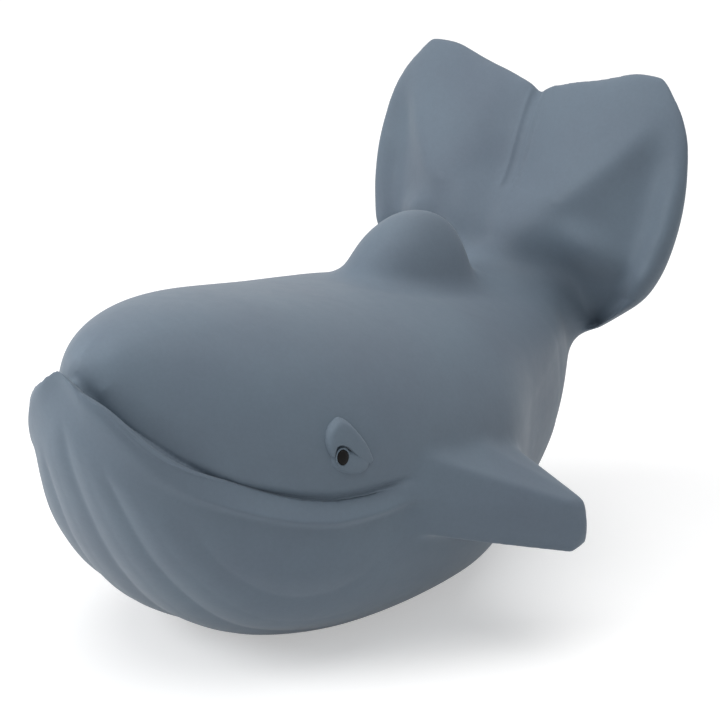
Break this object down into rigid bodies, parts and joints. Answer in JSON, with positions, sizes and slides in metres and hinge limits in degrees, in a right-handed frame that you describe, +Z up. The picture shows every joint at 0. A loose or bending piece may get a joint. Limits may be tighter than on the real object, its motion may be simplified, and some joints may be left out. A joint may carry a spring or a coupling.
{
  "type": "whale bath toy",
  "caption": "Hollow rubber whale bath toy with a springy back, bending flippers and tail flukes, and a reed squeaker pressed into its flat belly.",
  "frame": {"origin": "Middle of the flat rest under the belly, on the surface that the toy stands on.", "axes": "+Z up from the floor, -Y to the head, +Y to the tail, +X to the whale's left flipper."},
  "size_m": [0.0972, 0.1246, 0.082],
  "materials": {
    "rubber": "matte blue-grey natural rubber with faint mottling",
    "eye_paint": "near-black paint, slightly glossy",
    "squeaker_plastic": "off-white moulded plastic",
    "reed_film": "thin stiff translucent plastic film"
  },
  "bodies": {
    "hull": {"upper_shell": "rubber", "press_ring": "rubber", "lower_shell": "rubber", "dorsal_fin": "rubber", "left_flipper_root": "rubber", "right_flipper_root": "rubber", "tail_stock": "rubber", "left_brow": "rubber", "right_brow": "rubber", "left_pupil": "eye_paint", "right_pupil": "eye_paint", "squeaker_barrel": "squeaker_plastic", "reed_block": "squeaker_plastic", "reed_tail": "reed_film", "reed_clamp": "squeaker_plastic", "squeaker_cap": "squeaker_plastic"},
    "back": {"press_pad": "rubber"},
    "left_paddle": {"left_flipper": "rubber"},
    "right_paddle": {"right_flipper": "rubber"},
    "tail": {"tail_flukes": "rubber"},
    "reed": {"reed_tongue": "reed_film"}
  },
  "joints": [
    {"name": "back_squeeze", "type": "slide", "parent": "hull", "child": "back", "axis": [0, -0.166, -0.9861], "range_m": [0, 0.008], "stiffness_N_per_m": 500, "deforming": ["press_ring"]},
    {"name": "left_flipper_flex", "type": "hinge", "parent": "hull", "child": "left_paddle", "pos_m": [0.034, 0.0006, 0.0224], "axis": [-0.0181, -0.9782, -0.2071], "range_deg": [-20, 20], "stiffness_Nm_per_rad": 0.02, "deforming": ["left_flipper_root"]},
    {"name": "right_flipper_flex", "type": "hinge", "parent": "hull", "child": "right_paddle", "pos_m": [-0.034, 0.0006, 0.0224], "axis": [-0.0181, 0.9782, 0.2071], "range_deg": [-20, 20], "stiffness_Nm_per_rad": 0.02, "deforming": ["right_flipper_root"]},
    {"name": "tail_flex", "type": "hinge", "parent": "hull", "child": "tail", "pos_m": [0, 0.043, 0.038], "axis": [1, 0, 0], "range_deg": [-15, 12], "stiffness_Nm_per_rad": 0.15, "deforming": ["tail_stock"]},
    {"name": "reed_flex", "type": "hinge", "parent": "hull", "child": "reed", "pos_m": [0.0002, 0.0108, 0.0054], "axis": [0, 1, 0], "range_deg": [-4, 4], "stiffness_Nm_per_rad": 0.00002}
  ]
}
